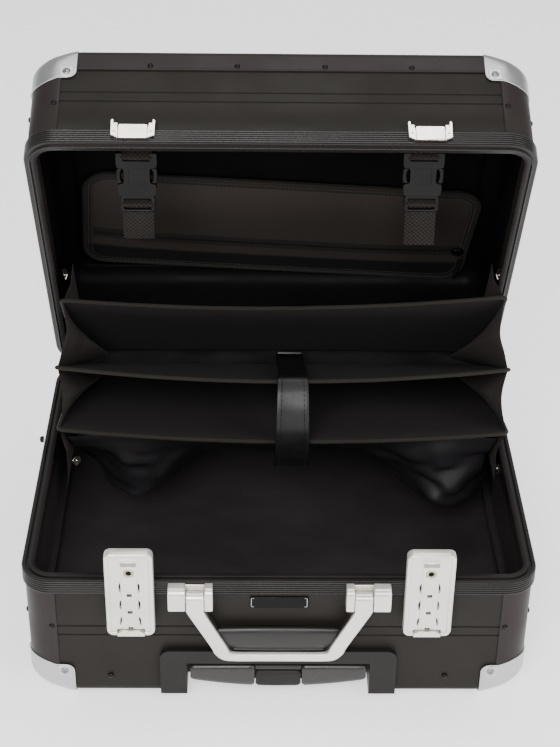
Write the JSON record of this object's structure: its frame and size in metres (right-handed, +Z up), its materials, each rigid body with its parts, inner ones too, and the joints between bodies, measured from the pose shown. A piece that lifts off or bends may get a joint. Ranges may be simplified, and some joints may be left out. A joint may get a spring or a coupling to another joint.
{
  "type": "wheeled attache case",
  "caption": "Black aluminium-framed attache case with silver corners, hinged lid, fan of dividers, combination latches, carry handle, telescopic trolley grip and wheels.",
  "frame": {"origin": "centre of the base's flat bottom face, 5 mm above the floor it stands on", "axes": "+X to the right seen from the front, -Y to the front where the latches and handles are, +Z up"},
  "size_m": [0.46, 0.472, 0.5096],
  "materials": {
    "panel": "fine-textured satin black paint on aluminium sheet",
    "profile": "satin black anodised extrusion",
    "corner": "satin silver casting",
    "latch": "satin light silver casting",
    "keeper": "bright nickel plate",
    "brass": "polished",
    "steel": "brushed",
    "plastic": "fine-grained moulding",
    "dial": "moulded, knurled edge",
    "rubber": "matt",
    "lining": "smooth woven satin lining",
    "divider_fabric": "coarse woven polyester over board",
    "pouch_fabric": "ribbed nylon",
    "webbing": "ribbed webbing",
    "leather": "smooth grained, stitched"
  },
  "bodies": {
    "base": {"base_shell": "panel", "base_rim": "profile", "base_edge_frame": "profile", "base_corner_front_left": "corner", "base_corner_front_right": "corner", "base_corner_back_left": "corner", "base_corner_back_right": "corner", "base_lining": "lining", "hinge_base_leaf": "steel", "latch_body_left": "latch", "latch_body_right": "latch", "handle_bracket_left": "latch", "handle_bracket_right": "latch", "wheel_housing_left": "plastic", "wheel_housing_right": "plastic", "base_foot_left": "rubber", "base_foot_right": "rubber", "nameplate": "plastic", "trolley_housing": "plastic"},
    "lid": {"lid_shell": "panel", "lid_rim": "profile", "lid_edge_frame": "profile", "lid_corner_front_left": "corner", "lid_corner_front_right": "corner", "lid_corner_back_left": "corner", "lid_corner_back_right": "corner", "lid_lining": "lining", "hinge_lid_leaf": "steel", "keeper_left": "keeper", "keeper_right": "keeper", "zip_pouch": "pouch_fabric", "lid_strap_left": "webbing", "lid_strap_right": "webbing"},
    "divider_lower": {"divider_lower": "divider_fabric", "closure_strap": "leather"},
    "divider_middle": {"divider_middle": "divider_fabric"},
    "divider_upper": {"divider_upper": "divider_fabric"},
    "handle": {"handle_bow": "latch", "handle_grip": "rubber"},
    "trolley_lower": {"trolley_tube_lower_left": "steel", "trolley_tube_lower_right": "steel"},
    "trolley_upper": {"trolley_tube_upper_left": "steel", "trolley_tube_upper_right": "steel", "trolley_grip": "plastic"},
    "trolley_button": {"trolley_button": "plastic"},
    "latch_release_left": {"latch_tab_left": "latch", "latch_bolt_left": "steel"},
    "key_left": {"key_cylinder_left": "brass"},
    "wheel_left": {"wheel_left": "rubber"},
    "dial_left_1": {"dial_left_1": "dial"},
    "dial_left_2": {"dial_left_2": "dial"},
    "dial_left_3": {"dial_left_3": "dial"},
    "latch_release_right": {"latch_tab_right": "latch", "latch_bolt_right": "steel"},
    "key_right": {"key_cylinder_right": "brass"},
    "wheel_right": {"wheel_right": "rubber"},
    "dial_right_1": {"dial_right_1": "dial"},
    "dial_right_2": {"dial_right_2": "dial"},
    "dial_right_3": {"dial_right_3": "dial"}
  },
  "joints": [
    {"name": "lid_hinge", "type": "hinge", "parent": "base", "child": "lid", "pos_m": [0, 0.181, 0.135], "axis": [-1, 0, 0], "range_deg": [-64.9, 29]},
    {"name": "divider_lower_hinge", "type": "hinge", "parent": "base", "child": "divider_lower", "pos_m": [0, 0.181, 0.135], "axis": [-1, 0, 0], "range_deg": [-16, 7.15]},
    {"name": "divider_middle_hinge", "type": "hinge", "parent": "divider_lower", "child": "divider_middle", "pos_m": [0, 0.181, 0.135], "axis": [-1, 0, 0], "range_deg": [-15, 6.7]},
    {"name": "divider_upper_hinge", "type": "hinge", "parent": "divider_middle", "child": "divider_upper", "pos_m": [0, 0.181, 0.135], "axis": [-1, 0, 0], "range_deg": [-18.5, 8.27]},
    {"name": "handle_swing", "type": "hinge", "parent": "base", "child": "handle", "pos_m": [0, -0.1855, 0.1225], "axis": [-1, 0, 0], "range_deg": [0, 95]},
    {"name": "trolley_lower_slide", "type": "slide", "parent": "base", "child": "trolley_lower", "axis": [0, -1, 0], "range_m": [0, 0.23]},
    {"name": "trolley_upper_slide", "type": "slide", "parent": "trolley_lower", "child": "trolley_upper", "axis": [0, -1, 0], "range_m": [0, 0.23]},
    {"name": "trolley_button_press", "type": "slide", "parent": "trolley_upper", "child": "trolley_button", "axis": [0, 1, 0], "range_m": [0, 0.003], "stiffness_N_per_m": 400, "springref_m": -0.002},
    {"name": "latch_release_left", "type": "slide", "parent": "base", "child": "latch_release_left", "axis": [0, -1, 0], "range_m": [0, 0.0036], "stiffness_N_per_m": 400, "springref_m": -0.002},
    {"name": "key_left", "type": "hinge", "parent": "base", "child": "key_left", "pos_m": [-0.1314, -0.188, 0.154], "axis": [0, -1, 0], "range_deg": [0, 90]},
    {"name": "dial_left_1", "type": "hinge", "parent": "base", "child": "dial_left_1", "pos_m": [-0.1314, -0.187, 0.1365], "axis": [0, -1, 0], "continuous": true},
    {"name": "dial_left_2", "type": "hinge", "parent": "base", "child": "dial_left_2", "pos_m": [-0.1314, -0.187, 0.1173], "axis": [0, -1, 0], "continuous": true},
    {"name": "dial_left_3", "type": "hinge", "parent": "base", "child": "dial_left_3", "pos_m": [-0.1314, -0.187, 0.0981], "axis": [0, -1, 0], "continuous": true},
    {"name": "wheel_left", "type": "hinge", "parent": "base", "child": "wheel_left", "pos_m": [-0.164, 0.162, 0.015], "axis": [1, 0, 0], "continuous": true},
    {"name": "latch_release_right", "type": "slide", "parent": "base", "child": "latch_release_right", "axis": [0, -1, 0], "range_m": [0, 0.0036], "stiffness_N_per_m": 400, "springref_m": -0.002},
    {"name": "key_right", "type": "hinge", "parent": "base", "child": "key_right", "pos_m": [0.1314, -0.188, 0.154], "axis": [0, -1, 0], "range_deg": [0, 90]},
    {"name": "dial_right_1", "type": "hinge", "parent": "base", "child": "dial_right_1", "pos_m": [0.1314, -0.187, 0.1365], "axis": [0, -1, 0], "continuous": true},
    {"name": "dial_right_2", "type": "hinge", "parent": "base", "child": "dial_right_2", "pos_m": [0.1314, -0.187, 0.1173], "axis": [0, -1, 0], "continuous": true},
    {"name": "dial_right_3", "type": "hinge", "parent": "base", "child": "dial_right_3", "pos_m": [0.1314, -0.187, 0.0981], "axis": [0, -1, 0], "continuous": true},
    {"name": "wheel_right", "type": "hinge", "parent": "base", "child": "wheel_right", "pos_m": [0.164, 0.162, 0.015], "axis": [1, 0, 0], "continuous": true}
  ],
  "couplings": [
    {"joint": "divider_lower_hinge", "follows": "lid_hinge", "ratio": 0.24653},
    {"joint": "divider_middle_hinge", "follows": "lid_hinge", "ratio": 0.23112},
    {"joint": "divider_upper_hinge", "follows": "lid_hinge", "ratio": 0.28505},
    {"joint": "trolley_upper_slide", "follows": "trolley_lower_slide", "ratio": 1}
  ]
}
